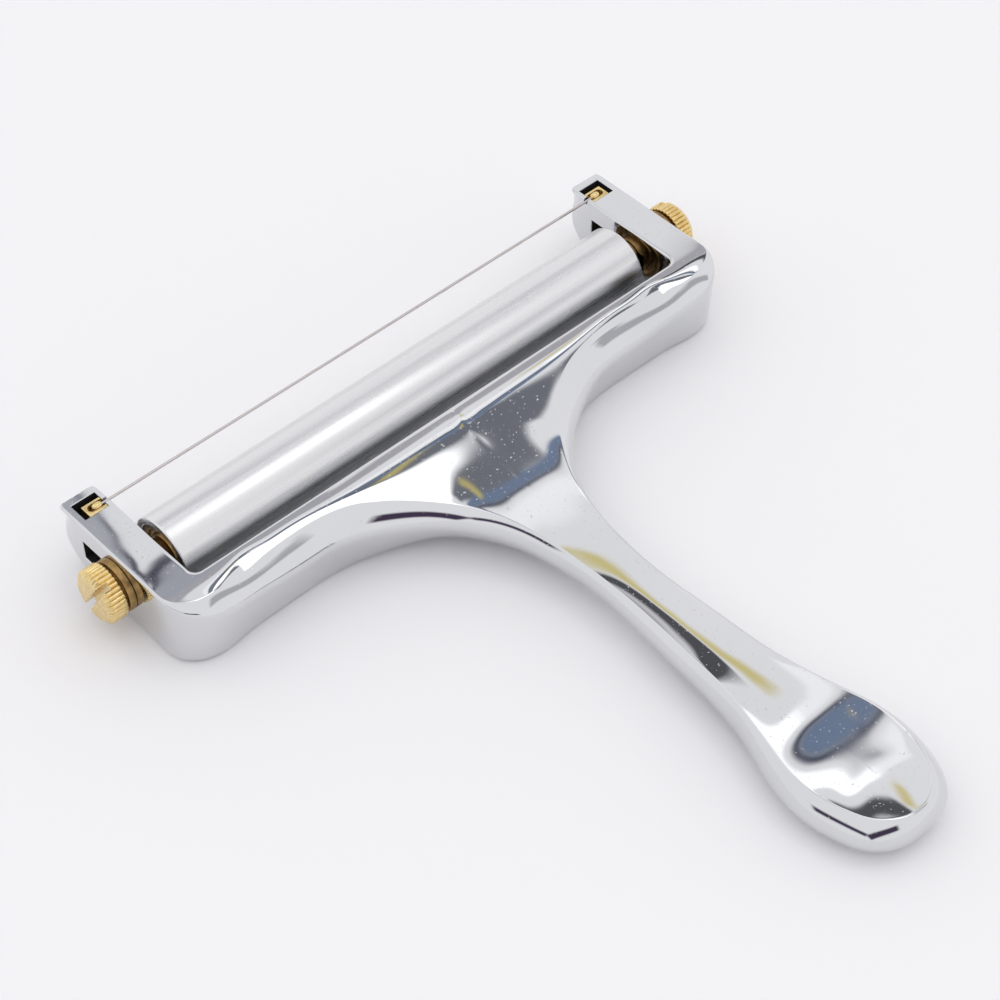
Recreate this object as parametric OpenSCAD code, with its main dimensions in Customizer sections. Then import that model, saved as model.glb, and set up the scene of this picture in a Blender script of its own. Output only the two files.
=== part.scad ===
// Adjustable hand cheese slicer: a cast frame with a handle, a taut cutting wire between
// its two arm tips, and a roller behind the wire. The roller's axle is clamped in a slot in
// each arm by a thumb screw, so its distance from the wire sets the thickness of a slice.
// X runs along the roller, +Y points the way that the wire cuts, and +Z is up.
// The origin is on the table, below the centre of the whole object.

/* [Frame] */
// Length from the front of the arm tips to the end of the handle
overall_l = 132.3; // [132:0.1:136]
// Width over the two arms
frame_w = 120; // [116:0.5:130]
// Depth of the casting
frame_h = 14; // [13:0.1:15]
// Width of each arm
arm_w = 7; // [6:0.1:8]
// Distance from the arm tips to the front edge of the cross bar
bar_front = 26.8; // [26:0.1:30]
// Distance from the arm tips to the back of the cross bar
bar_back = 34.1; // [33.5:0.1:36]
// Radius of the two back corners, seen from above
corner_r = 7; // [4:0.5:9]
// Half the width of the handle where it is thinnest
neck_half_w = 5; // [4.5:0.1:6]
// Half the width of the bulb at the handle's end
bulb_half_w = 12; // [11:0.1:13]

/* [Roller] */
// Outer radius of the roller tube
roller_r = 6.95; // [6.5:0.05:7.2]
// Wall of the roller tube
roller_wall = 1.35; // [1:0.05:2]
// Length of the roller tube
roller_l = 101.6; // [98:0.1:102]
// How far the tube has floated to the left of the middle
roller_float = 0.7; // [0:0.1:0.9]
// Distance from the arm tips to the roller's axis, at rest
axle_front = 15.6; // [15.6:0.1:16.5]
// Height of the roller's axis
axle_z = 8.14; // [8:0.01:8.3]
// Radius of the axle rod
axle_r = 3; // [2.8:0.1:3.2]

/* [Slots and thumb screws] */
// Height of the slot in each arm
slot_h = 4.1; // [4.1:0.05:4.3]
// Distance from the arm tips to the front end of the slots
slot_front = 6; // [6:0.1:7]
// How far the axle can be set back from its place at rest
slot_back_travel = 1.7; // [0:0.1:2]
// Radius of the screw's shank
shank_r = 2; // [1.9:0.05:2]
// Radius over the knurled head
head_r = 4.95; // [4.5:0.05:5.5]
// Length of the knurled head
head_l = 3.4; // [3:0.1:5]
// Number of knurls round the head
knurls = 36; // [24:4:48]
// Thickness of the brass washer under the head
washer_t = 1.25; // [1:0.05:1.6]

/* [Wire] */
// Diameter of the cutting wire
wire_d = 0.5; // [0.4:0.05:0.7]
// Distance from the arm tips to the wire
wire_front = 4.4; // [4.3:0.05:4.5]
// How far the wire runs below the top of the arms
wire_drop = 0.4; // [0.35:0.05:0.5]

/* [Hidden] */

$fn = 48;
face_gap = 0.05;        // between faces that slide or turn on each other
front_y = overall_l / 2;
arm_x = frame_w / 2;    // outer face of an arm
inner_x = arm_x - arm_w;
axle_y = front_y - axle_front;
wire_y = front_y - wire_front;
wire_z = frame_h - wire_drop;
slot_back = axle_front + slot_back_travel + shank_r + face_gap;

// Pocket for the wire anchor, open at the top of each arm tip
pocket_front = 1.8;     // distance from the arm tip
pocket_l = 4;
pocket_wall = 0.9;      // between the pocket and the arm's inner face
pocket_w = 4.6;
pocket_depth = 3.1;
notch_w = 0.9;          // lets the wire through that wall
anchor_l = 2.7;
anchor_w = 3.6;
anchor_h = 2.95;
anchor_fit = 0.04;
seat_r = 0.8;           // round ended seat for the ferrule, cut in the anchor's top
seat_depth = 1.5;
ferrule_r = 0.72;
ferrule_l = 1.9;

// Roller and hubs
tube_bore_r = roller_r - roller_wall;
hub_face_x = 51;        // outer face of each hub
hub_l = 8;
hub_r = tube_bore_r - face_gap;
spacer_r = 3.1;
axle_end_x = hub_face_x - 1;
tap_depth = 9;

// Thumb screws
neck_r = 3.3;
neck_l = 0.45;
shank_reach = 7;        // how far the shank goes into the axle
slot_w = 1.3;           // driver slot
slot_depth = 1.9;
left_slot_turn = 122;   // direction of each driver slot, from +Y towards +Z
right_slot_turn = 60;
knurl_depth = 0.3;
head_chamfer = 0.7;

// Side view of the arms and the bar: the tip is a quarter of an ellipse
claw_run = 12;
claw_rise = 10.5;
claw_steps = 10;

// Places along the handle: distance from the arm tips, half width, top and bottom
stations = [
    [ 30.0, 40.0,         13.4, 0.2],
    [ 32.5, 33.0,         13.0, 0.5],
    [ 35.0, 26.5,         12.5, 1.0],
    [ 39.0, 18.6,         11.8, 1.7],
    [ 44.0, 12.7,         11.1, 2.2],
    [ 50.0,  8.8,         10.3, 2.5],
    [ 58.0,  6.2,          9.6, 2.7],
    [ 68.0, neck_half_w,   9.0, 2.5],
    [ 78.0, neck_half_w + 0.3, 8.9, 2.1],
    [ 90.0,  6.3,          8.8, 1.5],
    [100.0,  7.7,          8.7, 0.9],
    [108.0, 10.1,          8.7, 0.3],
    [114.0, bulb_half_w - 0.3, 8.7, 0.0],
    [119.0, bulb_half_w,   8.5, 0.0],
    [124.0, 11.1,          8.2, 0.3],
    [128.0,  8.9,          7.6, 1.0],
    [130.5,  6.3,          6.8, 2.0],
    [131.8,  3.9,          6.0, 3.0],
    [overall_l, 1.5,       5.2, 3.8]
];
handle_rings = 44;      // closer together towards the bulb's end
ridge_part = 0.78;      // half width of the flat top, as a part of the half width
belly_part = 0.5;       // the same for the flat underside
girth_part = 0.36;      // height of the widest line, as a part of the section's height
quarter_steps = 5;

// Smooth interpolation through column c of the stations, at distance s from the tips
function slope(i, c) =
    let (n = len(stations) - 1, a = max(i - 1, 0), b = min(i + 1, n))
    (stations[b][c] - stations[a][c]) / (stations[b][0] - stations[a][0]);
function span_of(s, i = 0) =
    i >= len(stations) - 2 || s < stations[i + 1][0] ? i : span_of(s, i + 1);
function hermite(p, q, m, n, t) =
    (1 + 2 * t) * pow(1 - t, 2) * p + t * pow(1 - t, 2) * m
    + t * t * (3 - 2 * t) * q + t * t * (t - 1) * n;
function along(s, c) =
    let (i = span_of(s), run = stations[i + 1][0] - stations[i][0])
    hermite(stations[i][c], stations[i + 1][c],
        slope(i, c) * run, slope(i + 1, c) * run, (s - stations[i][0]) / run);

// One quarter of a section: an elliptical arc from the angle a to a + 90.
// skip leaves out the first point, where the quarter before it ends.
function quarter(cx, cz, rx, rz, a, skip = 0) =
    [for (k = [skip : quarter_steps])
        [cx + rx * cos(a + 90 * k / quarter_steps), cz + rz * sin(a + 90 * k / quarter_steps)]];

// A section of the handle as [x, z] points: flat top, round flanks, flat underside
function handle_section(w, top, bottom) =
    let (ridge = w * ridge_part, belly = w * belly_part,
        girth = bottom + (top - bottom) * girth_part)
    concat(
        quarter(ridge, girth, w - ridge, top - girth, 0, 1),
        quarter(-ridge, girth, w - ridge, top - girth, 90),
        quarter(-belly, girth, w - belly, girth - bottom, 180, 1),
        quarter(belly, girth, w - belly, girth - bottom, 270));

// Turns so that a shape drawn round Z lies round X
module along_x() { rotate([0, 90, 0]) children(); }

// Puts children at the roller's axis
module at_axle() { translate([0, axle_y, axle_z]) children(); }

// Draws children, made for the right hand side, on the side s
module on_side(s) { if (s > 0) children(); else mirror([1, 0, 0]) children(); }

// ---- Frame -------------------------------------------------------------------------

// Outline of the arms and the bar, seen from above
module frame_plan() {
    tip_r = 2.2;
    inner_r = 1.6;
    difference() {
        union() {
            for (s = [-1, 1]) {
                translate([s * (arm_x - corner_r), front_y - bar_back + corner_r])
                    circle(corner_r);
                for (x = [inner_x + tip_r, arm_x - tip_r])
                    translate([s * x, front_y - tip_r]) circle(tip_r);
                translate([s > 0 ? inner_x : -arm_x, front_y - bar_back + corner_r])
                    square([arm_w, bar_back - corner_r - tip_r]);
                translate([s > 0 ? inner_x + tip_r : tip_r - arm_x, front_y - 2 * tip_r])
                    square([arm_w - 2 * tip_r, 2 * tip_r]);
            }
            translate([corner_r - arm_x, front_y - bar_back])
                square([frame_w - 2 * corner_r, bar_back - bar_front]);
            translate([-arm_x, front_y - bar_back + corner_r])
                square([frame_w, bar_back - bar_front - corner_r + inner_r]);
        }
        translate([inner_r - inner_x, front_y - bar_front])
            square([2 * (inner_x - inner_r), 2 * inner_r]);
        for (s = [-1, 1])
            translate([s * (inner_x - inner_r), front_y - bar_front + inner_r])
                circle(inner_r);
        translate([-inner_x, front_y - bar_front + inner_r])
            square([2 * inner_x, bar_front]);
    }
}

// Side view of the arms and the bar, as [distance from the tips, height]
module frame_side() {
    claw = [for (k = [0 : claw_steps])
        [claw_run * (1 - cos(90 * k / claw_steps)),
            claw_rise * (1 - sin(90 * k / claw_steps))]];
    polygon(concat(
        [[0.4, frame_h], [0.1, frame_h - 0.3]],
        claw,
        [[bar_back - 2.1, 0], [bar_back - 0.3, 7.2], [bar_back, 9.2],
            [bar_back - 0.7, 11.4], [bar_back - 2.4, 13], [bar_back - 5.2, frame_h]]));
}

// Neck, handle and bulb, lofted through the stations
module handle() {
    rings = handle_rings;
    s0 = stations[0][0];
    sections = [for (k = [0 : rings])
        let (s = s0 + (overall_l - s0) * sin(90 * k / rings))
        [for (p = handle_section(along(s, 1), along(s, 2), max(0, along(s, 3))))
            [p[0], front_y - s, p[1]]]];
    n = len(sections[0]);
    points = [for (ring = sections) for (p = ring) p];
    walls = [for (k = [0 : rings - 1]) for (i = [0 : n - 1])
        let (j = (i + 1) % n, a = k * n, b = a + n)
        each [[a + i, b + j, a + j], [a + i, b + i, b + j]]];
    caps = [[for (i = [0 : n - 1]) i], [for (i = [n - 1 : -1 : 0]) rings * n + i]];
    polyhedron(points, concat(walls, caps));
}

// Everything cut in one arm: the axle's slot, the anchor's pocket and the wire's notch
module arm_cuts() {
    past = 1;
    pocket_x = inner_x + pocket_wall;
    translate([inner_x - past, front_y - slot_back, axle_z - slot_h / 2])
        cube([arm_w + 2 * past, slot_back - slot_front, slot_h]);
    translate([pocket_x, front_y - pocket_front - pocket_l, frame_h - pocket_depth])
        cube([pocket_w, pocket_l, pocket_depth + past]);
    translate([inner_x - past, wire_y - notch_w / 2, wire_z - wire_d / 2 - 0.15])
        cube([pocket_wall + 2 * past, notch_w, frame_h]);
}

module frame() {
    color("silver")
    difference() {
        union() {
            intersection() {
                linear_extrude(frame_h) frame_plan();
                translate([-arm_x, 0, 0]) rotate([90, 0, 90])
                    linear_extrude(frame_w) translate([front_y, 0]) mirror([1, 0])
                        frame_side();
            }
            handle();
        }
        arm_cuts();
        mirror([1, 0, 0]) arm_cuts();
    }
}

// ---- Wire --------------------------------------------------------------------------

// Inner face of the anchor, against the pocket's inner wall
anchor_x = inner_x + pocket_wall + anchor_fit;
anchor_y = front_y - pocket_front - pocket_l + anchor_fit;
seat_x = anchor_x + 0.4;    // where the ferrule starts

module cutting_wire() {
    reach = seat_x + ferrule_l - 0.3;
    color("gainsboro")
    translate([-reach, wire_y, wire_z]) along_x() cylinder(r = wire_d / 2, h = 2 * reach);
}

module wire_anchor() {
    color("gold")
    translate([anchor_x, anchor_y, frame_h - pocket_depth + anchor_fit])
    difference() {
        cube([anchor_w, anchor_l, anchor_h]);
        // round ended seat that the ferrule lies in
        for (x = [0.4, 0.4 + ferrule_l])
            translate([x, wire_y - anchor_y, anchor_h - seat_depth])
                cylinder(r = seat_r, h = seat_depth + 1);
        translate([0.4, wire_y - anchor_y - seat_r, anchor_h - seat_depth])
            cube([ferrule_l, 2 * seat_r, seat_depth + 1]);
        translate([-1, wire_y - anchor_y - notch_w / 2, anchor_h - seat_depth])
            cube([2, notch_w, seat_depth + 1]);
    }
}

// Crimped sleeve on the end of the wire
module wire_ferrule() {
    bore = wire_d / 2 + 0.01;
    color("goldenrod")
    translate([seat_x, wire_y, wire_z]) along_x()
    rotate_extrude()
        polygon([[bore, 0], [ferrule_r - 0.2, 0], [ferrule_r, 0.2],
            [ferrule_r, ferrule_l - 0.2], [ferrule_r - 0.2, ferrule_l], [bore, ferrule_l]]);
}

// ---- Roller carriage ---------------------------------------------------------------

module axle() {
    color("lightgray")
    at_axle() along_x()
    difference() {
        translate([0, 0, -axle_end_x]) cylinder(r = axle_r, h = 2 * axle_end_x);
        for (s = [-1, 1])
            translate([0, 0, s * (axle_end_x - tap_depth / 2)])
                cylinder(r = shank_r + face_gap, h = tap_depth + 0.01, center = true);
    }
}

// Brass plug that the end of the tube turns on
module hub() {
    color("darkgoldenrod")
    at_axle() translate([hub_face_x - hub_l, 0, 0]) along_x()
    difference() {
        union() {
            cylinder(r = hub_r, h = hub_l - 0.4);
            translate([0, 0, hub_l - 0.4]) cylinder(r1 = hub_r, r2 = hub_r - 0.4, h = 0.4);
        }
        translate([0, 0, -1]) cylinder(r = axle_r + 0.01, h = hub_l);
        translate([0, 0, hub_l - 2]) cylinder(r = shank_r + face_gap, h = 3);
    }
}

// Brass ring that holds the hub off the arm
module spacer() {
    color("gold")
    at_axle() translate([hub_face_x + 0.01, 0, 0]) along_x()
    difference() {
        cylinder(r = spacer_r, h = inner_x - face_gap - hub_face_x - 0.01);
        translate([0, 0, -1]) cylinder(r = shank_r + face_gap, h = 4);
    }
}

module roller_tube() {
    color("whitesmoke")
    at_axle() translate([-roller_l / 2 - roller_float, 0, 0]) along_x()
    rotate_extrude()
        polygon([[tube_bore_r, 0.3], [tube_bore_r + 0.3, 0], [roller_r - 0.25, 0],
            [roller_r, 0.25], [roller_r, roller_l - 0.25], [roller_r - 0.25, roller_l],
            [tube_bore_r + 0.3, roller_l], [tube_bore_r, roller_l - 0.3]]);
}

// ---- Thumb screws ------------------------------------------------------------------

module washer() {
    washer_r = head_r - 0.2;
    bore = shank_r + face_gap;
    color("darkgoldenrod")
    at_axle() translate([arm_x + face_gap, 0, 0]) along_x()
    rotate_extrude()
        polygon([[bore, 0], [washer_r, 0], [washer_r, washer_t - 0.25],
            [washer_r - 0.25, washer_t], [bore, washer_t]]);
}

// The screw drawn round Z: shank, neck, then the knurled and slotted head
module thumb_screw_body(turn) {
    shank_l = shank_reach + arm_x + washer_t + 2 * face_gap - axle_end_x;
    difference() {
        union() {
            translate([0, 0, -shank_l]) cylinder(r = shank_r, h = shank_l + 0.01);
            cylinder(r = neck_r, h = neck_l);
            translate([0, 0, neck_l]) difference() {
                rotate_extrude()
                    polygon([[0, 0], [head_r - 0.3, 0], [head_r, 0.3],
                        [head_r, head_l - head_chamfer],
                        [head_r - head_chamfer, head_l], [0, head_l]]);
                for (k = [0 : knurls - 1])
                    rotate(360 * k / knurls) translate([head_r + 0.02, 0, -1])
                        rotate(45) translate([-knurl_depth, -knurl_depth, 0])
                            cube([2 * knurl_depth, 2 * knurl_depth, head_l + 2]);
            }
        }
        rotate(turn) translate([-slot_w / 2, -2 * head_r, neck_l + head_l - slot_depth])
            cube([slot_w, 4 * head_r, slot_depth + 1]);
    }
}

module thumb_screw(turn) {
    color("gold")
    at_axle() translate([arm_x + washer_t + 2 * face_gap, 0, 0]) along_x()
        thumb_screw_body(turn);
}

// ---- Nodes -------------------------------------------------------------------------

frame();
cutting_wire();
on_side(-1) wire_anchor();  // left_wire_anchor
on_side(1) wire_anchor();  // right_wire_anchor
on_side(-1) wire_ferrule();  // left_wire_ferrule
on_side(1) wire_ferrule();  // right_wire_ferrule
axle();
on_side(-1) hub();  // left_hub
on_side(1) hub();  // right_hub
on_side(-1) spacer();  // left_spacer
on_side(1) spacer();  // right_spacer
roller_tube();
on_side(-1) washer();  // left_washer
on_side(1) washer();  // right_washer
on_side(-1) thumb_screw(left_slot_turn);  // left_thumb_screw
on_side(1) thumb_screw(right_slot_turn);  // right_thumb_screw
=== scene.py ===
import math

import bpy
import bmesh
import numpy as np
from mathutils import Matrix, Vector


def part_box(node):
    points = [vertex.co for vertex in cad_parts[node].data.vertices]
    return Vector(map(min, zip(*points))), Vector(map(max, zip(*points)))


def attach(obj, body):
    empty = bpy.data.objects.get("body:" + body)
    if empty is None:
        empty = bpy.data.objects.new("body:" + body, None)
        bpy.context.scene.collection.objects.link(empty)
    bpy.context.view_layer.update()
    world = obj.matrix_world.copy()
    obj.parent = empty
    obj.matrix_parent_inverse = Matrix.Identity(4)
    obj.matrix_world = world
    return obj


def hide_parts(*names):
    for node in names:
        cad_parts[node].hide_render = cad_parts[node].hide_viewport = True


MM = 0.001

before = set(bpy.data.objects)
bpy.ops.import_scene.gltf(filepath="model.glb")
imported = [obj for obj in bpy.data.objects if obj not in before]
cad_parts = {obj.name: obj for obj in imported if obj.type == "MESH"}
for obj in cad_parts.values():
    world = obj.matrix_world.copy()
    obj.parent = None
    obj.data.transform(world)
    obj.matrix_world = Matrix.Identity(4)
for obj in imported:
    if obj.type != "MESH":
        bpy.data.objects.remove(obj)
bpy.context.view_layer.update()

# ---- Sizes, in millimetres ----------------------------------------------------------
# Most are read from the CAD nodes, or repeat the CAD's own sizes. x runs along the
# roller, s is the distance back from the arm tips, h the height.

def node_box(name):
    """A node's extent in x, y and z: its lowest and highest place in each."""
    low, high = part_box(name)
    return [(a / MM, b / MM) for a, b in zip(low, high)]


def round_node(name):
    """A node that is round along x: its lowest and highest x, and its radius."""
    (left, right), _, (low, high) = node_box(name)
    return left, right, (high - low) / 2


(_, HALF_W), (_back, TIP_Y), (_, TOP) = node_box("frame")
END_S = TIP_Y - _back
ARM_W = 7.0
INNER_X = HALF_W - ARM_W
BAR_FRONT = 26.8
BAR_BACK = 34.1
EDGE_R = 0.35                 # rounding of the edges round the roller
RIM = 0.4                     # width and height of the bevel along the outer edges
FILLET_R = 1.6                # inner corners between the arms and the bar
CORNER_R = 7.0                # outer back corners
TIP_R = 1.3                   # arm tips, seen from above
TOP_START = 0.45              # s of the front end of an arm's top
ARM_ROOT = 20.0               # where the straight part of an arm meets the sweep

AXLE_Y, AXLE_H = (sum(span) / 2 for span in node_box("roller_tube")[1:])
HUB_R = node_box("right_hub")[2][1] - AXLE_H
BORE_R = 2.05                 # holes for the screws' shanks
SHANK_R = 2.0
HEAD_R = round_node("right_thumb_screw")[2]
KNURL_BAND = 0.45             # the head's outermost part, where the knurls are

_wire_y, WIRE_H = (sum(span) / 2 for span in node_box("cutting_wire")[1:])
WIRE_S = TIP_Y - _wire_y
WIRE_END, WIRE_R = round_node("cutting_wire")[1:]
NOTCH_W = 0.9                 # the notches that the wire runs through

SLOT = {"s": (6.0, 19.35), "h": (AXLE_H - BORE_R, AXLE_H + BORE_R)}
POCKET = {"x": (INNER_X + 0.9, INNER_X + 5.5), "s": (1.8, 5.8), "depth": 3.1}
LIP = 0.12                    # chamfer where a slot or a pocket opens


# ---- The casting's shape ------------------------------------------------------------

# Heights of the casting's middle line: its top and its underside, at distances s
TOP_LINE = [(26.8, 14.0), (28.8, 13.95), (31.5, 13.55), (35, 12.8), (40, 11.8), (46, 10.8),
            (52, 10.1), (60, 9.4), (70, 8.83), (80, 8.5), (90, 8.33), (100, 8.21), (105, 8.14),
            (107, 8.09), (109.5, 7.98), (112, 7.83), (114.5, 7.69), (117, 7.58), (119.5, 7.49),
            (122, 7.43), (125, 7.46), (128, 7.54), (130, 7.61), (132, 7.69)]
UNDER_LINE = [(26.8, 0), (30, 0.2), (35, 1.0), (40, 1.8), (46, 2.3), (52, 2.6), (60, 2.7),
              (68, 2.5), (78, 2.1), (90, 1.5), (100, 0.9), (108, 0.3), (114, 0), (120, 0)]

# The casting's edge, from the bar round the neck to the handle's end. Each row has the
# distance along the inner boundary (the bar's front edge, then the middle line), then
# x, s, h of the ridge, of the widest line and of the foot, and the bulge of the upper
# and of the lower flank.
BAR_ROWS = [
    (33.5, (47.0, 31.2, 13.05), (47.0, 34.1, 10.3), (47.0, 32.1, 0.0), 0.35, 0.2),
    (40.0, (41.0, 31.1, 13.0), (41.0, 34.1, 9.8), (41.0, 31.9, 0.0), 0.4, 0.2),
    (47.0, (35.0, 31.1, 12.95), (35.2, 34.1, 9.5), (35.0, 31.8, 0.0), 0.4, 0.2),
    (54.0, (30.2, 31.5, 12.85), (30.8, 34.2, 9.4), (30.3, 32.0, 0.1), 0.4, 0.25),
    (60.0, (26.2, 32.3, 12.8), (27.0, 35.0, 9.2), (26.2, 32.7, 0.3), 0.4, 0.35),
    (66.5, (21.2, 34.3, 12.5), (22.4, 36.9, 9.0), (21.2, 34.4, 0.8), 0.4, 0.5),
    (73.0, (16.9, 37.1, 12.0), (18.2, 39.3, 8.6), (16.5, 36.7, 1.5), 0.4, 0.6),
]
NECK_ROWS = [                 # the first number is s on the middle line
    (27.15, (12.9, 40.8, 11.4), (14.2, 42.4, 8.1), (11.9, 39.8, 2.1), 0.4, 0.7),
    (33.0, (9.3, 45.4, 10.9), (10.6, 46.6, 7.5), (7.9, 44.5, 2.5), 0.4, 0.8),
    (41.0, (6.6, 51.0, 10.2), (7.9, 51.6, 7.0), (4.9, 50.5, 2.7), 0.4, 0.8),
    (51.0, (4.9, 57.8, 9.6), (6.1, 58.0, 6.6), (3.2, 57.6, 2.8), 0.4, 0.8),
    (62.0, (4.0, 66.0, 9.1), (5.0, 66.0, 6.4), (2.3, 66.0, 2.6), 0.4, 0.8),
    (73.0, (3.8, 75.0, 8.85), (5.1, 75.0, 6.2), (2.4, 75.0, 2.3), 0.4, 0.8),
    (84.0, (4.4, 84.5, 8.75), (5.8, 84.5, 5.9), (2.9, 84.5, 1.9), 0.4, 0.8),
    (93.5, (5.1, 94.0, 8.6), (6.6, 94.0, 5.3), (3.5, 94.0, 1.3), 0.4, 0.8),
    (101.0, (6.6, 102.0, 8.42), (8.1, 102.3, 4.8), (4.8, 101.8, 0.8), 0.4, 0.8),
    (107.0, (8.2, 108.5, 8.25), (10.4, 109.0, 4.4), (6.6, 107.8, 0.3), 0.5, 0.8),
    (111.5, (9.4, 114.0, 8.1), (11.8, 115.0, 4.1), (7.8, 112.8, 0.1), 0.5, 0.7),
    (115.0, (9.4, 118.8, 7.98), (11.8, 120.0, 4.0), (8.1, 117.5, 0.1), 0.5, 0.8),
    (117.5, (8.5, 123.0, 7.92), (10.6, 125.1, 4.0), (7.5, 121.9, 0.1), 0.5, 0.9),
    (119.0, (6.8, 126.7, 7.8), (8.5, 129.1, 4.1), (6.2, 125.5, 0.3), 0.5, 1.0),
    (119.9, (4.5, 129.0, 7.77), (5.6, 131.3, 4.2), (4.1, 127.8, 0.5), 0.5, 1.0),
    (120.4, (2.2, 130.2, 7.72), (2.8, 132.15, 4.3), (2.1, 128.7, 0.6), 0.5, 1.0),
    (120.6, (0.0, 130.5, 7.7), (0.0, END_S, 4.35), (0.0, 129.0, 0.6), 0.5, 1.0),
]

# How finely the casting is divided: across a section, across the wall beside the roller,
# along an arm, and from one section of the sweep to the next in millimetres
TOP_STEPS, UPPER_STEPS, LOWER_STEPS, UNDER_STEPS = 30, 14, 24, 14
ARC_STEPS, WALL_STEPS = 5, 12
ARM_STEPS = 52
SWEEP_STEP = 0.8
EASE_PASSES = 6               # how far each section's corners are rounded


def natural_spline(knots, values, at):
    """Smooth curve through values at knots, evaluated at the places in at."""
    knots, values, at = (np.asarray(a, float) for a in (knots, values, at))
    n, gap = len(knots), np.diff(knots)
    flat = values.reshape(n, -1)
    system, right = np.eye(n), np.zeros((n, flat.shape[1]))
    for i in range(1, n - 1):
        system[i, i - 1:i + 2] = gap[i - 1], 2 * (gap[i - 1] + gap[i]), gap[i]
        right[i] = 6 * ((flat[i + 1] - flat[i]) / gap[i] - (flat[i] - flat[i - 1]) / gap[i - 1])
    bend = np.linalg.solve(system, right)
    i = np.clip(np.searchsorted(knots, at, side="right") - 1, 0, n - 2)
    g, a, b = gap[i][:, None], (knots[i + 1] - at)[:, None], (at - knots[i])[:, None]
    out = (bend[i] * a ** 3 + bend[i + 1] * b ** 3) / (6 * g) \
        + (flat[i] / g - bend[i] * g / 6) * a + (flat[i + 1] / g - bend[i + 1] * g / 6) * b
    return out.reshape((len(at),) + values.shape[1:])


def line_height(line, s):
    """Height of a middle line at the distances s; flat in front of the bar's front edge."""
    knots = [p[0] for p in line]
    s = np.clip(np.atleast_1d(s), knots[0], knots[-1])
    return natural_spline(knots, [p[1] for p in line], s)


def inner_wall(t):
    """Point and outward-facing direction of the wall round the roller at the distance t."""
    corner, turn = BAR_FRONT - FILLET_R, FILLET_R * math.pi / 2
    if t < corner:
        return (INNER_X, t), (1.0, 0.0)
    if t < corner + turn:
        a = (t - corner) / FILLET_R
        x, s = math.cos(a), math.sin(a)
        return (INNER_X - FILLET_R + FILLET_R * x, corner + FILLET_R * s), (x, s)
    return (INNER_X - FILLET_R - (t - corner - turn), BAR_FRONT), (0.0, 1.0)


BAR_END_T = BAR_FRONT - FILLET_R + FILLET_R * math.pi / 2 + INNER_X - FILLET_R


def claw_line():
    """Front and underside of an arm, from its top edge back to its root, as [s, h] points."""
    run, rise = 12.0, 10.5    # of the curved hook
    a = np.radians(np.linspace(0, 90, 40))
    curve = np.c_[run * (1 - np.cos(a)), rise * (1 - np.sin(a))]
    front = [[0.12, TOP - 0.3], [0.02, TOP - 1.6]]
    return np.vstack([front, curve, [ARM_ROOT, 0.0]])


def along_line(line, share):
    """Point and upward normal at a share of a polyline's length."""
    run = np.r_[0, np.cumsum(np.linalg.norm(np.diff(line, axis=0), axis=1))]
    at, reach = share * run[-1], 0.2
    before, point, after = (
        np.array([np.interp(place_at, run, line[:, k]) for k in (0, 1)])
        for place_at in (max(at - reach, 0), at, min(at + reach, run[-1])))
    along = (after - before) / np.linalg.norm(after - before)
    return point, np.array([-along[1], along[0]])


def tip_inset(s):
    """How far an arm's sides draw in at its tip."""
    return TIP_R - math.sqrt(TIP_R ** 2 - max(0.0, TIP_R - s) ** 2)


def bulged(a, b, bulge, out, steps):
    """Points from a to b, bowed outwards by bulge; the first point is left out."""
    t = np.linspace(0, 1, steps + 1)[1:, None]
    chord = b - a
    level = np.append(out, 0.0)
    normal = -chord[2] * level + chord.dot(level) * np.array([0, 0, 1.0])
    normal /= max(np.linalg.norm(normal), 1e-6)
    return a + chord * t + normal * bulge * 4 * t * (1 - t)


def section(inner, ridge, widest, foot, under, bulge_up, bulge_low, dish):
    """One section, from the top's inner boundary over the edge to the underside's.

    The higher dish is, the nearer to the ridge the top begins to rise.
    """
    t = np.sin(np.linspace(0, math.pi / 2, TOP_STEPS + 1))
    top = inner + (ridge - inner) * t[:, None]
    base, base_ridge = line_height(TOP_LINE, top[:, 1]), line_height(TOP_LINE, ridge[1])
    top[:, 2] = base + (ridge[2] - base_ridge) * t ** dish
    out = ridge[:2] - inner[:2]
    out = out / np.linalg.norm(out)
    points = np.vstack([
        top, bulged(ridge, widest, bulge_up, out, UPPER_STEPS),
        bulged(widest, foot, bulge_low, out, LOWER_STEPS),
        bulged(foot, under, 0.0, out, UNDER_STEPS)])
    for _ in range(EASE_PASSES):
        points[1:-1] = (points[:-2] + 2 * points[1:-1] + points[2:]) / 4
    return points


def arm_sections():
    """Sections of an arm with the wall beside the roller, from the tip to its root."""
    line, rings, walls = claw_line(), [], []
    dish = 4
    for k in range(ARM_STEPS + 1):
        share = (k / ARM_STEPS) ** 1.25      # closer together at the tip
        s_top = TOP_START + (ARM_ROOT - TOP_START) * share
        (s_low, h_low), up = along_line(line, share)
        a, b = tip_inset(s_top), tip_inset(s_low)
        inner = np.array([INNER_X + a + EDGE_R, s_top, TOP])
        ridge = np.array([HALF_W - a - RIM, s_top, TOP])
        widest = np.array([HALF_W - a, s_top, max(TOP - RIM, h_low + 0.01)])
        foot = np.array([HALF_W - b, s_low, h_low])
        under = np.array([INNER_X + b + EDGE_R, s_low, h_low])
        rings.append(section(inner, ridge, widest, foot, under, 0.0, 0.0, dish))
        walls.append(wall_strip(inner, under, np.array([-1.0, 0, 0]), np.array([0, *up])))
    return rings, walls


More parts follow.
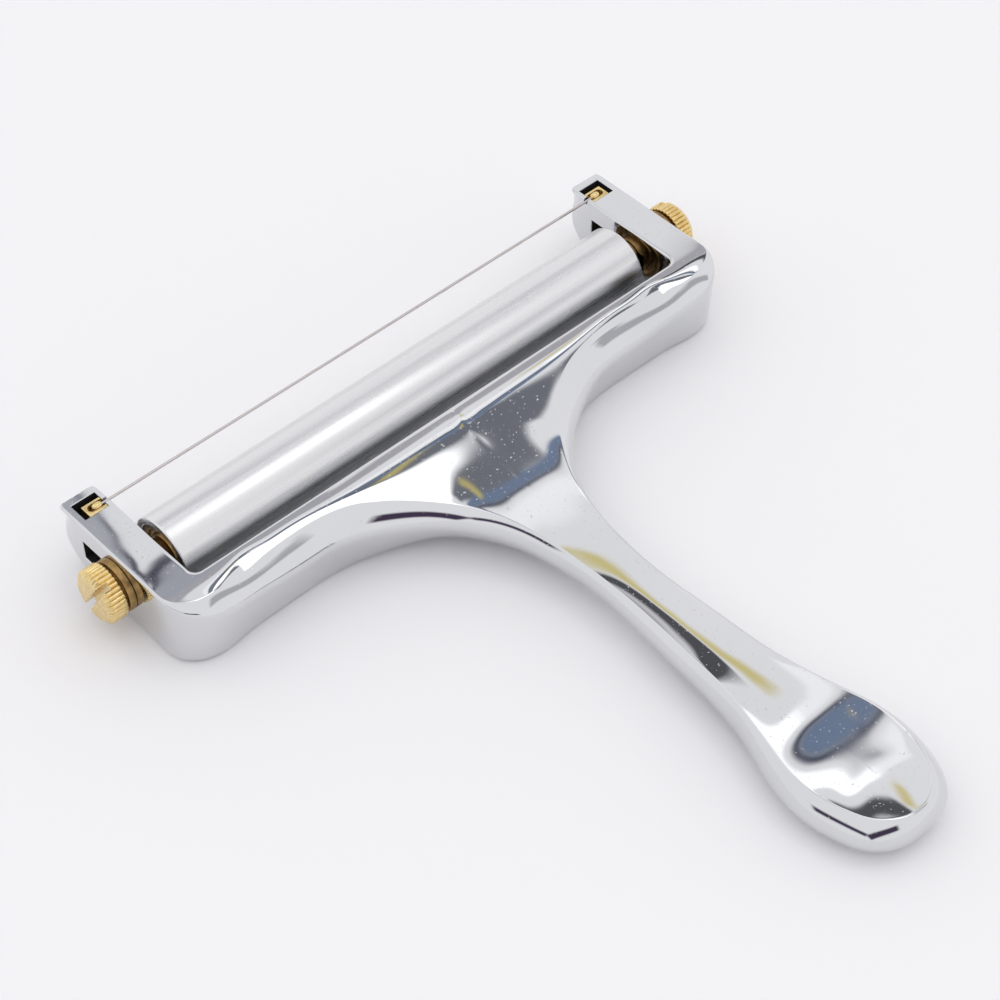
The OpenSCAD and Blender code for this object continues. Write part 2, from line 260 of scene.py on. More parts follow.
def wall_strip(inner, under, out, up):
    """The wall beside the roller, with its two rounded edges, between two boundary points."""
    above = np.array([0, 0, 1.0])
    top_mid, low_mid = inner - EDGE_R * above, under + EDGE_R * up
    top_wall, low_wall = top_mid + EDGE_R * out, low_mid + EDGE_R * out
    a = np.linspace(0, math.pi / 2, ARC_STEPS + 1)[1:, None]
    top_arc = top_mid + EDGE_R * (out * np.sin(a) + above * np.cos(a))
    low_arc = low_mid + EDGE_R * (out * np.cos(a) - up * np.sin(a))
    t = np.linspace(0, 1, WALL_STEPS + 1)[1:, None]
    return np.vstack([top_arc, top_wall + (low_wall - top_wall) * t, low_arc[:-1]])


def corner_rows():
    """Rows of the sweep from the arm's root round the back corner."""
    rows = [(s - 0.08 * (s - ARM_ROOT), (HALF_W - RIM, s, TOP), (HALF_W, s, TOP - RIM),
             (HALF_W, s, 0.0), 0.0, 0.0) for s in (ARM_ROOT, 23.5)]
    mid_x, mid_s = HALF_W - CORNER_R, BAR_BACK - CORNER_R
    ridge_s, foot_s = 4.2, CORNER_R - 1.4    # how far back of mid_s they get
    steps = 6
    for k in range(steps + 1):
        share = k / steps
        x, s = math.cos(share * math.pi / 2), math.sin(share * math.pi / 2)
        drop = share ** 1.5                  # how far the arm's section has become the bar's
        rows.append((24.9 + 3.3 * share,
                     (mid_x + (CORNER_R - RIM) * x, mid_s + ridge_s * s, TOP - 0.4 * drop),
                     (mid_x + CORNER_R * x, mid_s + CORNER_R * s, TOP - RIM - 2.8 * drop),
                     (mid_x + CORNER_R * x, mid_s + foot_s * s, 0.0),
                     0.3 * drop, 0.2 * drop))
    return rows


def sweep_rows():
    """Every row of the sweep as numbers: t, ridge, widest, foot, two bulges and the dish."""
    rows = []
    for t, r, w, f, up, low in corner_rows() + BAR_ROWS:
        dish = float(np.interp(r[0], (26.0, 35.0, 47.0, 52.0), (8.0, 3.5, 2.2, 6.0)))
        rows.append((t, *r, *w, *f, up, low, dish))
    for k, (s, r, w, f, up, low) in enumerate(NECK_ROWS):
        dish = max(2.6, 6.0 - 0.8 * k)
        rows.append((BAR_END_T + s - NECK_ROWS[0][0], *r, *w, *f, up, low, dish))
    return np.array(rows, float)


def sweep_sections():
    """Sections round the corner, along the bar and the neck, to the handle's end."""
    rows = sweep_rows()
    mirrored = rows[-2:-4:-1].copy()         # past the end, so that it runs on smoothly
    mirrored[:, (1, 4, 7)] *= -1
    fitted = np.vstack([rows, mirrored])
    run = np.linalg.norm(np.diff(fitted[:, 1:7], axis=0), axis=1) / math.sqrt(2)
    knots = np.r_[0, np.cumsum(run)]
    at = [0.0]
    for k in range(len(rows) - 1):
        steps = max(1, math.ceil(run[k] / SWEEP_STEP))
        at += list(np.linspace(knots[k], knots[k + 1], steps + 1)[1:])
    rings, walls = [], []
    end = knots[np.searchsorted(rows[:, 0], BAR_END_T - 1e-6)]
    for u, v in zip(at, natural_spline(knots, fitted, at)):
        t, ridge, widest, foot, (up, low, dish) = v[0], v[1:4], v[4:7], v[7:10], v[10:]
        foot[2] = max(foot[2], 0.0)
        if u <= end + 1e-6:
            (x, s), (out_x, out_s) = inner_wall(min(t, BAR_END_T))
            inner = np.array([x + out_x * EDGE_R, s + out_s * EDGE_R, TOP])
            under = np.array([inner[0], inner[1], 0.0])
            walls.append(wall_strip(inner, under, np.array([-out_x, -out_s, 0.0]),
                                    np.array([0, 0, 1.0])))
        else:
            s = BAR_FRONT + EDGE_R + t - BAR_END_T
            inner = np.array([0.0, s, line_height(TOP_LINE, s)[0]])
            under = np.array([0.0, s, max(0.0, line_height(UNDER_LINE, s)[0])])
        rings.append(section(inner, ridge, widest, foot, under, up, low, dish))
    return rings, walls


# ---- Making meshes ------------------------------------------------------------------

def place(points):
    """Points as x, s, h in millimetres, turned into the model's frame in metres."""
    points = np.asarray(points, float)
    return np.c_[points[:, 0], TIP_Y - points[:, 1], points[:, 2]] * MM


def smooth(mesh, smooth_angle):
    """Smooth shading but for edges sharper than the angle in degrees."""
    mesh.shade_smooth()
    mesh.set_sharp_from_angle(angle=math.radians(smooth_angle))


def new_piece(name, verts, faces, smooth_angle=35):
    """A mesh object from points in metres, with its halves joined and normals outward."""
    mesh = bpy.data.meshes.new(name)
    mesh.from_pydata([tuple(v) for v in verts], [], faces)
    work = bmesh.new()
    work.from_mesh(mesh)
    same_place = 1e-7
    bmesh.ops.remove_doubles(work, verts=work.verts, dist=same_place)
    bmesh.ops.recalc_face_normals(work, faces=work.faces)
    work.to_mesh(mesh)
    work.free()
    smooth(mesh, smooth_angle)
    piece = bpy.data.objects.new(name, mesh)
    bpy.context.scene.collection.objects.link(piece)
    return piece


def cut(piece, cutters, smooth_angle=35):
    """Cuts each cutter out of the piece, then removes the cutters."""
    for cutter in cutters:
        boolean = piece.modifiers.new("cut", "BOOLEAN")
        boolean.object = cutter
        boolean.operation = "DIFFERENCE"
        boolean.solver = "EXACT"
    graph = bpy.context.evaluated_depsgraph_get()
    mesh = bpy.data.meshes.new_from_object(piece.evaluated_get(graph))
    piece.modifiers.clear()
    piece.data = mesh
    for cutter in cutters:
        bpy.data.objects.remove(cutter)
    smooth(mesh, smooth_angle)


def drum(name, rings):
    """A closed piece through rings of points in metres, one after the other."""
    n, last = len(rings[0]), len(rings) - 1
    faces = [(k * n + i, k * n + (i + 1) % n, (k + 1) * n + (i + 1) % n, (k + 1) * n + i)
             for k in range(last) for i in range(n)]
    faces += [tuple(reversed(range(n))), tuple(range(last * n, last * n + n))]
    return new_piece(name, np.vstack(rings), faces)


def prism(name, low, high, flare=None):
    """A box from low to high (x, s, h), widened by a small chamfer where it opens.

    flare, if given, is an axis and the places along it where the box leaves the part.
    """
    axis, openings = flare if flare else (2, ())
    levels = [(low[axis], 0.0), (high[axis], 0.0)]
    for at in openings:
        if abs(at - high[axis]) < abs(at - low[axis]):
            levels[-1:] = [(at - LIP, 0.0), (at + LIP, 2 * LIP), (high[axis], 2 * LIP)]
        else:
            levels[:1] = [(low[axis], 2 * LIP), (at - LIP, 2 * LIP), (at + LIP, 0.0)]
    rings = []
    for at, grow in levels:
        ring = np.zeros((4, 3))
        for point, corner in zip(ring, ((0, 0), (1, 0), (1, 1), (0, 1))):
            point[axis] = at
            for k, upper in zip([k for k in range(3) if k != axis], corner):
                point[k] = high[k] + grow if upper else low[k] - grow
        rings.append(place(ring))
    return drum(name, rings)


def lathe(name, outline, side, steps=96, radius=None, smooth_angle=35, axis=None):
    """A round piece along x, on the roller's axis unless axis gives another (y, h).

    outline is a list of (x, r). It is closed by the axis where it starts and ends there,
    else it is a ring. radius, if given, changes a point's r: radius(r, angle).
    """
    mid_y, mid_h = axis if axis else (AXLE_Y, AXLE_H)
    verts, faces, n = [], [], len(outline)
    for k in range(steps):
        a = 2 * math.pi * k / steps
        for x, r in outline:
            r = radius(r, a) if radius else r
            verts.append((side * x, mid_y + r * math.cos(a), mid_h + r * math.sin(a)))
    ring = outline[0][1] > 0
    for k in range(steps):
        m = (k + 1) % steps
        for i in range(n if ring else n - 1):
            j = (i + 1) % n
            quad = (k * n + i, k * n + j, m * n + j, m * n + i)
            if outline[i][1] == 0:
                quad = (k * n + i, k * n + j, m * n + j)
            elif outline[j][1] == 0:
                quad = (k * n + i, k * n + j, m * n + i)
            faces.append(quad)
    return new_piece(name, np.array(verts) * MM, faces, smooth_angle)


def rounded(points, radii):
    """An outline whose corners are rounded: radii gives each corner's radius."""
    steps = 4
    points, out, n = [np.array(p, float) for p in points], [], len(points)
    for k, (p, r) in enumerate(zip(points, radii)):
        if not r:
            out.append(tuple(p))
            continue
        before, after = points[k - 1], points[(k + 1) % n]
        a = p + (before - p) / np.linalg.norm(before - p) * r
        b = p + (after - p) / np.linalg.norm(after - p) * r
        for t in np.linspace(0, 1, steps + 1):
            out.append(tuple((1 - t) ** 2 * a + 2 * t * (1 - t) * p + t * t * b))
    return out


def finish_piece(piece, body, material, node):
    """Gives the piece its material, its body and the node that it stands for."""
    piece.data.materials.clear()
    piece.data.materials.append(material)
    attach(piece, body)
    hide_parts(node)
    return piece


# ---- Materials ----------------------------------------------------------------------

def shader(name, color, metallic, roughness):
    """A new material with its node tree and its main shader."""
    material = bpy.data.materials.new(name)
    material.use_nodes = True
    tree = material.node_tree
    main = tree.nodes["Principled BSDF"]
    main.inputs["Base Color"].default_value = (*color, 1.0)
    main.inputs["Metallic"].default_value = metallic
    main.inputs["Roughness"].default_value = roughness
    return material, tree, main


def noise(tree, scale, detail=2.0, rough=0.5, stretch=(1, 1, 1)):
    """Noise over the piece's own coordinates, scale in features a metre."""
    where = tree.nodes.new("ShaderNodeTexCoord")
    mapping = tree.nodes.new("ShaderNodeMapping")
    mapping.inputs["Scale"].default_value = stretch
    texture = tree.nodes.new("ShaderNodeTexNoise")
    texture.inputs["Scale"].default_value = scale
    texture.inputs["Detail"].default_value = detail
    texture.inputs["Roughness"].default_value = rough
    tree.links.new(where.outputs["Object"], mapping.inputs["Vector"])
    tree.links.new(mapping.outputs["Vector"], texture.inputs["Vector"])
    return texture.outputs["Fac"]


def ranged(tree, value, low, high, to_low, to_high):
    """Maps a value from one range to another, clamped."""
    node = tree.nodes.new("ShaderNodeMapRange")
    ends = {"From Min": low, "From Max": high, "To Min": to_low, "To Max": to_high}
    for key, number in ends.items():
        node.inputs[key].default_value = number
    tree.links.new(value, node.inputs["Value"])
    return node.outputs["Result"]


def mixed_colour(tree, share, first, second):
    """A colour between first and second; first may be another node's colour."""
    node = tree.nodes.new("ShaderNodeMix")
    node.data_type = "RGBA"
    factor, from_colour, to_colour = (node.inputs[k] for k in (0, 6, 7))
    tree.links.new(share, factor)
    if isinstance(first, tuple):
        from_colour.default_value = (*first, 1.0)
    else:
        tree.links.new(first, from_colour)
    to_colour.default_value = (*second, 1.0)
    return node.outputs[2]


def bump(tree, main, height, microns):
    """Adds a bump of that depth, on top of any bump already there."""
    node = tree.nodes.new("ShaderNodeBump")
    node.inputs["Strength"].default_value = 1.0
    node.inputs["Distance"].default_value = microns * 1e-6
    tree.links.new(height, node.inputs["Height"])
    if main.inputs["Normal"].links:
        tree.links.new(main.inputs["Normal"].links[0].from_socket, node.inputs["Normal"])
    tree.links.new(node.outputs["Normal"], main.inputs["Normal"])


def chrome_material():
    """Bright plating over a cast body: small waves, fine pits and a little haze."""
    material, tree, main = shader("chrome_plating", (0.69, 0.70, 0.72), 1.0, 0.05)
    haze = noise(tree, 60, detail=4)
    tree.links.new(ranged(tree, haze, 0.35, 0.7, 0.018, 0.05), main.inputs["Roughness"])
    tone = mixed_colour(tree, ranged(tree, noise(tree, 35, detail=3), 0.3, 0.7, 0, 1),
                        (0.67, 0.68, 0.70), (0.72, 0.725, 0.74))
    tree.links.new(tone, main.inputs["Base Color"])
    bump(tree, main, noise(tree, 90, detail=1), microns=20)
    pits = ranged(tree, noise(tree, 2200, detail=3), 0.68, 0.76, 0, 1)
    bump(tree, main, pits, microns=5)
    return material


def brass_material(name, color, deep, rough):
    """Bare brass with a patina between two colours."""
    material, tree, main = shader(name, color, 1.0, rough)
    patina = ranged(tree, noise(tree, 900, detail=5, rough=0.6), 0.35, 0.7, 0, 1)
    tree.links.new(mixed_colour(tree, patina, color, deep), main.inputs["Base Color"])
    wear = noise(tree, 1500, detail=3)
    tree.links.new(ranged(tree, wear, 0.3, 0.7, rough - 0.06, rough + 0.1),
                   main.inputs["Roughness"])
    bump(tree, main, noise(tree, 4000), microns=4)
    return material


def recess_shade_material():
    """Near-black painted shade for the casting's walls deep in a recess, with a rough grainy
    skin.
    """
    material, tree, main = shader("recess_painted_shade", (0.035, 0.033, 0.035), 0.6, 0.6)
    grain = noise(tree, 2500, detail=4)
    tree.links.new(mixed_colour(tree, grain, (0.02, 0.019, 0.02), (0.055, 0.05, 0.05)),
                   main.inputs["Base Color"])
    bump(tree, main, grain, microns=30)
    return material


def roller_material():
    """Drawn aluminium: fine lines along the tube and a satin sheen."""
    material, tree, main = shader("roller_satin", (0.76, 0.76, 0.765), 1.0, 0.3)
    lines = noise(tree, 3500, detail=3, rough=0.6, stretch=(0.012, 1, 1))
    tree.links.new(ranged(tree, lines, 0.3, 0.7, 0.25, 0.32), main.inputs["Roughness"])
    streaks = noise(tree, 1500, detail=3, rough=0.6, stretch=(0.01, 1, 1))
    tone = mixed_colour(tree, ranged(tree, streaks, 0.3, 0.7, 0, 1),
                        (0.755, 0.755, 0.765), (0.785, 0.785, 0.79))
    tree.links.new(tone, main.inputs["Base Color"])
    bump(tree, main, lines, microns=1)
    return material


def steel_material():
    """Drawn stainless steel."""
    material, tree, main = shader("wire_steel", (0.55, 0.51, 0.50), 1.0, 0.28)
    lines = noise(tree, 5000, stretch=(0.05, 1, 1))
    tree.links.new(ranged(tree, lines, 0.3, 0.7, 0.2, 0.38), main.inputs["Roughness"])
    tree.links.new(mixed_colour(tree, lines, (0.52, 0.48, 0.47), (0.66, 0.62, 0.61)),
                   main.inputs["Base Color"])
    return material


def floor_material():
    """Pale matt paper."""
    material, tree, main = shader("pale_paper", (0.97, 0.965, 0.975), 0.0, 0.9)
    main.inputs["Specular IOR Level"].default_value = 0.1
    tone = mixed_colour(tree, noise(tree, 6, detail=3),
                        (0.965, 0.96, 0.97), (0.98, 0.975, 0.985))
    tree.links.new(tone, main.inputs["Base Color"])
    return material


# ---- The pieces ---------------------------------------------------------------------

def on_side(side, a, b):
    """The lower and the upper of two places in x, on the left (-1) or the right (1) side."""
    return min(side * a, side * b), max(side * a, side * b)


def name_of(side, word):
    """left_ or right_ before a piece's name."""
    return ("right_" if side > 0 else "left_") + word


def casting():
    """The one cast piece: arms, cross bar, neck and handle."""
    arm_rings, arm_walls = arm_sections()
    rings, walls = sweep_sections()
    rings, walls = arm_rings[:-1] + rings, arm_walls[:-1] + walls
    n, m = len(rings[0]), len(walls[0])
    verts, faces = np.vstack(rings + walls), []
    start = len(rings) * n

    def strip(k):
        """Vertex numbers of the wall's strip beside section k, with its two ends."""
        return [k * n] + [start + k * m + i for i in range(m)] + [k * n + n - 1]

    for k in range(len(rings) - 1):
        for i in range(n - 1):
            faces.append((k * n + i, k * n + i + 1, (k + 1) * n + i + 1, (k + 1) * n + i))
    for k in range(len(walls) - 1):
        a, b = strip(k), strip(k + 1)
        faces += [(a[i], a[i + 1], b[i + 1], b[i]) for i in range(len(a) - 1)]
    faces.append(tuple(range(n)) + tuple(reversed(strip(0)[1:-1])))
    other = verts * (-1, 1, 1)
    faces += [tuple(i + len(verts) for i in reversed(f)) for f in faces]
    piece = new_piece("casting", place(np.vstack([verts, other])), faces)

    cutters = []
    past, under_wire = 1.0, 0.15
    for side in (-1, 1):
        x = on_side(side, *POCKET["x"])
        cutters.append(prism("pocket", (x[0], POCKET["s"][0], TOP - POCKET["depth"]),
                             (x[1], POCKET["s"][1], TOP + past), (2, (TOP,))))
        x = on_side(side, INNER_X - past, HALF_W + past)
        cutters.append(prism("slot", (x[0], SLOT["s"][0], SLOT["h"][0]),
                             (x[1], SLOT["s"][1], SLOT["h"][1]),
                             (0, on_side(side, INNER_X, HALF_W))))
        x = on_side(side, INNER_X - past, POCKET["x"][0] + past)
        cutters.append(prism("notch", (x[0], WIRE_S - NOTCH_W / 2, WIRE_H - WIRE_R - under_wire),
                             (x[1], WIRE_S + NOTCH_W / 2, TOP + past)))
    cut(piece, cutters)
    return piece


def paint_recess_shade(piece):
    """Gives the walls of the pockets and slots the second material, painted shade, but for their
    rims.
    """
    near, rim = 0.02, 0.2

    def within(value, span):
        return span[0] - near < value < span[1] + near

    for face in piece.data.polygons:
        x, h = abs(face.center.x) / MM, face.center.z / MM
        s = TIP_Y - face.center.y / MM
        in_pocket = within(x, POCKET["x"]) and within(s, POCKET["s"]) and h < TOP - rim
        in_slot = (INNER_X + rim < x < HALF_W - rim
                   and within(s, SLOT["s"]) and within(h, SLOT["h"]))
        if in_pocket or in_slot:
            face.material_index = 1


def knurled(r, angle):
    """Radius of a thumb screw's head: straight grooves that fade out inwards."""
    knurls, depth, fade = 36, 0.36, 0.4
    if r < HEAD_R - KNURL_BAND:
        return r
    tooth = abs(math.sin(angle * knurls / 2)) ** 0.7
    return r - depth * (1 - tooth) * min(1.0, (r - HEAD_R + KNURL_BAND) / fade)


def densified(outline, above_r, gap):
    """An outline with points added at that gap in x, where it's outside of a radius."""
    dense = []
    for (x0, r0), (x1, r1) in zip(outline[:-1], outline[1:]):
        parts = max(1, int(abs(x1 - x0) / gap)) if min(r0, r1) > above_r else 1
        dense += [(x0 + (x1 - x0) * k / parts, r0 + (r1 - r0) * k / parts)
                  for k in range(parts)]
    return dense + [outline[-1]]


def thumb_screw(side, slot_turn):
    """Knurled brass screw: shank, neck and a chamfered head with a driver slot."""
    inner, outer = round_node("right_thumb_screw")[:2]
    seat = round_node("right_washer")[1] + 0.05
    back, neck_r = seat + 0.45, 3.3
    outline = rounded(
        [(outer, 0), (outer, HEAD_R - 0.85), (outer - 0.75, HEAD_R), (back, HEAD_R),
         (back, neck_r), (seat, neck_r), (seat, SHANK_R), (inner, SHANK_R), (inner, 0)],
        [0, 0.12, 0.15, 0.25, 0, 0.1, 0, 0.3, 0])
    smooth_angle = 30
    piece = lathe(name_of(side, "thumb_screw_knurled"), densified(outline, HEAD_R - 0.5, 0.4),
                  side, 432, knurled, smooth_angle)

    half_w, lip, floor_x = 0.65, 0.15, outer - 1.9
    half = [(floor_x, half_w), (outer - lip, half_w), (outer + lip, half_w + 2 * lip),
            (outer + 1, half_w + 2 * lip)]
    shape = [(x, -w) for x, w in half] + half[::-1]
    c, s = math.cos(math.radians(slot_turn)), math.sin(math.radians(slot_turn))
    rings = [np.array([(side * x, AXLE_Y + along * c - w * s, AXLE_H + along * s + w * c)
                       for x, w in shape]) * MM
             for along in (-2 * HEAD_R, 2 * HEAD_R)]
    cut(piece, [drum("driver_slot", rings)], smooth_angle)
    return piece


def plain_ring(side, node, word, radii):
    """A ring on the screw's shank, in a node's place, with its corners rounded."""
    low, high, r = round_node(node)
    outline = rounded([(low, BORE_R), (low, r), (high, r), (high, BORE_R)], radii)
    return lathe(name_of(side, word), outline, side)


def washer(side):
    """Brass washer between the head and the arm."""
    return plain_ring(side, "right_washer", "washer_turned", [0.1, 0.12, 0.3, 0.1])


def spacer(side):
    """Ring that holds the hub off the arm."""
    return plain_ring(side, "right_spacer", "spacer_turned", [0.1, 0.2, 0.2, 0.1])


def hub(side):
    """Brass plug in the end of the tube, with a raised boss and a groove round it."""
    low, high, _ = round_node("right_hub")
    r, axle_r = HUB_R, 3.05
    groove, step = high - 0.5, high - 2
    return lathe(name_of(side, "hub_turned"), rounded(
        [(low, axle_r), (low, r), (high, r), (high, r - 0.9), (groove, r - 1.2),
         (groove, 3.7), (high, 3.5), (high, BORE_R), (step, BORE_R), (step, axle_r)],
        [0, 0.2, 0.25, 0.1, 0.1, 0.1, 0.1, 0.1, 0, 0]), side)


def axle():
    """The rod through the roller, with a chamfered tapped hole at each end."""
    _, end, r = round_node("axle")
    depth, cone, inside, outside = 9.0, 0.6, 0.2, 0.25    # of the hole, its tip, two chamfers
    half = [(end - depth - cone, 0.0), (end - depth, BORE_R), (end - inside, BORE_R),
            (end, BORE_R + inside), (end, r - outside), (end - outside, r)]
    return lathe("axle_rod", half + [(-x, y) for x, y in reversed(half)], 1, 64)


def roller_tube():
    """Satin tube with eased ends."""
    low, high, r = round_node("roller_tube")
    bore = HUB_R + 0.05
    return lathe("roller_tube_satin", rounded(
        [(low, bore), (low, r), (high, r), (high, bore)], [0.3, 0.35, 0.35, 0.3]), 1, 160)


def wire():
    """The taut wire, with a chamfer at each end."""
    chamfer, sections = 0.06, 60
    points = [(WIRE_END - chamfer, WIRE_R), (WIRE_END, WIRE_R * 0.8), (WIRE_END, 0)]
    straight = WIRE_END - 0.5
    along = [(x, WIRE_R) for x in np.linspace(-straight, straight, sections)]
    points = [(-x, r) for x, r in reversed(points)] + along + points
    return lathe("cutting_wire_drawn", points, 1, 24, axis=(TIP_Y - WIRE_S, WIRE_H))


def ferrule(side):
    """Crimped bead on the wire's end."""
    low, high, r = round_node("right_wire_ferrule")
    mid, half, start = (low + high) / 2, (high - low) / 2, 0.15
    bead = [(mid - half * math.cos(a), r * math.sin(a) ** 0.6)
            for a in np.linspace(start, math.pi - start, 16)]
    bore = WIRE_R + 0.01
    return lathe(name_of(side, "ferrule_bead"), [(low, bore)] + bead + [(high, bore)],
                 side, 48, axis=(TIP_Y - WIRE_S, WIRE_H))


def anchor(side):
    """Brass block in the arm's pocket, with a round ended seat for the bead."""
    (x0, x1), (y0, y1), (h0, h1) = node_box("right_wire_anchor")
    xs = on_side(side, x0, x1)
    piece = prism(name_of(side, "anchor_block"),
                  (xs[0], TIP_Y - y1, h0), (xs[1], TIP_Y - y0, h1))
    bevel = piece.modifiers.new("edge", "BEVEL")
    bevel.width, bevel.segments = 0.15 * MM, 3

    seat_r, low, high = 0.8, h1 - 1.5, h1 + 1
    steps, seat_ends = 16, ((x0 + 2.3, -90), (x0 + 0.4, 90))
    angles = [(x, math.radians(start + 180 * k / steps))
              for x, start in seat_ends for k in range(steps + 1)]
    seat = drum("seat", [
        place([(side * (x + seat_r * math.cos(a)), WIRE_S - seat_r * math.sin(a), h)
               for x, a in angles]) for h in (low, high)])
    xs = on_side(side, x0 - 1, x0 + 1)
    notch = prism("notch", (xs[0], WIRE_S - NOTCH_W / 2, low),
                  (xs[1], WIRE_S + NOTCH_W / 2, high))
    cut(piece, [seat, notch])
    return piece


chrome, satin, steel = chrome_material(), roller_material(), steel_material()
brass = brass_material("brass_turned", (0.86, 0.68, 0.35), (0.74, 0.54, 0.22), 0.24)
# A darker copy of the brass, painted shade: the hubs, spacers and washers sit inside the tube's
# ends and behind the screws' heads, where shade falls.
shaded_brass = brass_material("brass_painted_shade", (0.46, 0.30, 0.12), (0.24, 0.14, 0.05), 0.34)
cast = finish_piece(casting(), "frame", chrome, "frame")
# The second material is painted shade for the walls of the pockets and slots.
cast.data.materials.append(recess_shade_material())
paint_recess_shade(cast)
finish_piece(wire(), "frame", steel, "cutting_wire")
finish_piece(axle(), "carriage", steel, "axle")
finish_piece(roller_tube(), "roller", satin, "roller_tube")
for side, word in ((-1, "left"), (1, "right")):
    finish_piece(anchor(side), "frame", brass, word + "_wire_anchor")
    finish_piece(ferrule(side), "frame", brass, word + "_wire_ferrule")
    finish_piece(hub(side), "carriage", shaded_brass, word + "_hub")
    finish_piece(spacer(side), "carriage", shaded_brass, word + "_spacer")
    finish_piece(washer(side), word + "_washer", shaded_brass, word + "_washer")
    finish_piece(thumb_screw(side, 122 if side < 0 else 60), word + "_thumb_screw",
                 brass, word + "_thumb_screw")


# ---- Floor, light and camera --------------------------------------------------------

def stage_floor():
    """A wide pale sheet, a hair below the object."""
    mesh = bpy.data.meshes.new("floor")
    half, gap = 1.5, 0.0001
    mesh.from_pydata([(-half, -half, 0), (half, -half, 0), (half, half, 0), (-half, half, 0)],
                     [], [(0, 1, 2, 3)])
    floor = bpy.data.objects.new("floor", mesh)
    bpy.context.scene.collection.objects.link(floor)
    mesh.materials.append(floor_material())
    floor.location.z = -gap


# Soft cards in the room around the object, which the metal shows. Each has its centre as
# seen from the object, in degrees from straight up towards +X and towards +Y, its half
# sizes and turn in degrees, how soft its edge is, and its colour.
CARDS = [
    ((2.0, 28.0), (12.0, 5.0), 12, 2.5, (1.35, 1.35, 1.38)),      # overhead soft box
    ((12.1, 41.0), (8.0, 7.0), 0, 0.06, (0.52, 0.53, 0.57)),      # grey wall behind it
    ((17.5, 33.6), (7.5, 2.5), 0, 0.06, (0.46, 0.47, 0.52)),      # its skirting
    ((20.12, 40.0), (0.08, 4.0), 0, 0.03, (0.08, 0.08, 0.12)),    # dark edges of both
    ((22.5, 36.12), (2.4, 0.10), 0, 0.03, (0.07, 0.07, 0.10)),
    ((34.0, -37.0), (10.0, 7.0), 0, 2.0, (0.52, 0.52, 0.55)),     # grey wall at its side
    ((33.0, 29.2), (15.0, 3.2), 0, 0.8, (0.50, 0.49, 0.52)),      # grey soffit
    ((-36.0, -53.5), (27.0, 8.5), -10, 2.5, (0.07, 0.05, 0.09)),  # dark shelf
    ((-66.5, -14.0), (5.0, 28.0), 12, 2.5, (0.07, 0.05, 0.09)),   # its return wall
    ((27.1, 7.7), (4.0, 8.5), 25, 0.5, (0.19, 0.20, 0.23)),       # dark doorway
    ((30.0, 15.8), (26.0, 0.9), 0, 0.3, (0.19, 0.25, 0.37)),       # its bluish lintel
    ((30.0, 16.95), (26.0, 0.35), 0, 0.25, (0.08, 0.09, 0.13)),    # dark edge above it
    ((19.5, -1.0), (7.2, 12.3), 0, 0.6, (1.9, 1.9, 1.9)),         # lamp
    ((25.5, 19.4), (5.0, 1.2), 0, 0.4, (1.15, 1.15, 1.17)),       # lit wall
    ((39.5, 19.3), (9.5, 1.2), 0, 0.2, (1.5, 1.5, 1.5)),          # strip lamp
    ((25.2, 13.9), (0.5, 1.8), -25, 0.3, (0.60, 0.52, 0.22)),     # yellow post
    ((30.6, 23.8), (1.6, 0.6), 42, 0.4, (0.76, 0.66, 0.30)),      # yellow box
    ((39.6, 24.3), (7.0, 1.3), -3, 0.4, (0.10, 0.10, 0.11)),      # dark beam
]
ROOM = (0.97, 0.965, 0.98)


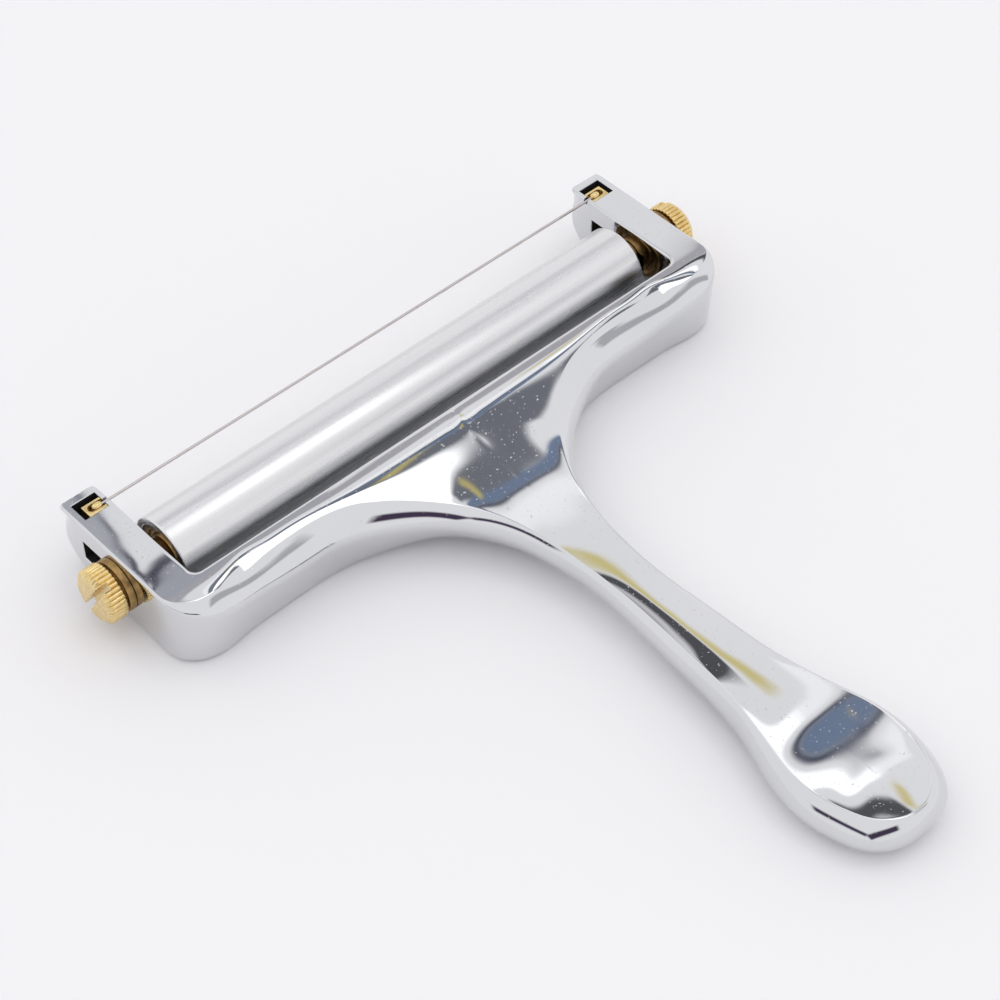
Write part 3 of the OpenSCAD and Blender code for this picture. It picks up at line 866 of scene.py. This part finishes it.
def world_light():
    """A pale room with its cards, as a procedural world."""
    world = bpy.data.worlds.new("room")
    bpy.context.scene.world = world
    world.use_nodes = True
    tree = world.node_tree

    def math_node(kind, *values):
        node = tree.nodes.new("ShaderNodeMath")
        node.operation = kind
        for socket, value in zip(node.inputs, values):
            if isinstance(value, (int, float)):
                socket.default_value = value
            else:
                tree.links.new(value, socket)
        return node.outputs[0]

    where = tree.nodes.new("ShaderNodeTexCoord")
    split = tree.nodes.new("ShaderNodeSeparateXYZ")
    tree.links.new(where.outputs["Generated"], split.inputs[0])
    x, y, z = split.outputs
    flat = math_node("SQRT", math_node("ADD", math_node("MULTIPLY", x, x),
                                       math_node("MULTIPLY", y, y)))
    degrees = math_node("MULTIPLY", math_node("ARCCOSINE", z), 180 / math.pi)
    not_zero = 0.0001
    scale = math_node("DIVIDE", degrees, math_node("MAXIMUM", flat, not_zero))
    u, v = math_node("MULTIPLY", x, scale), math_node("MULTIPLY", y, scale)
    colour = ROOM
    for centre, half, turn, soft, tint in CARDS:
        du, dv = math_node("SUBTRACT", u, centre[0]), math_node("SUBTRACT", v, centre[1])
        c, s = math.cos(math.radians(turn)), math.sin(math.radians(turn))
        along = math_node("ADD", math_node("MULTIPLY", du, c), math_node("MULTIPLY", dv, s))
        across = math_node("SUBTRACT", math_node("MULTIPLY", dv, c), math_node("MULTIPLY", du, s))
        share = math_node("MULTIPLY", *(
            ranged(tree, math_node("ABSOLUTE", d), size - soft, size + soft, 1, 0)
            for d, size in ((along, half[0]), (across, half[1]))))
        colour = mixed_colour(tree, share, colour, tint)
    tree.links.new(colour, tree.nodes["Background"].inputs["Color"])


def add_camera():
    """The camera, by its turn, height angle, roll and distance from a point on the object."""
    turn, lift, roll = (math.radians(a) for a in (-41.65, 47.63, -1.06))
    target, distance = Vector((-7.46, TIP_Y - 47.74, TOP)) * MM, 394.4 * MM
    back = Vector((math.sin(turn) * math.cos(lift), -math.cos(turn) * math.cos(lift),
                   math.sin(lift)))
    right = Vector((math.cos(turn), math.sin(turn), 0))
    up = back.cross(right)
    right, up = (math.cos(roll) * right + math.sin(roll) * up,
                 -math.sin(roll) * right + math.cos(roll) * up)
    data = bpy.data.cameras.new("camera")
    data.lens, data.sensor_width = 88.8, 36.0
    data.clip_start = 0.01
    camera = bpy.data.objects.new("camera", data)
    camera.location = target + back * distance
    camera.rotation_euler = Matrix((right, up, back)).transposed().to_euler()
    bpy.context.scene.collection.objects.link(camera)
    bpy.context.scene.camera = camera


stage_floor()
world_light()
add_camera()
bpy.context.scene.view_settings.view_transform = "Standard"
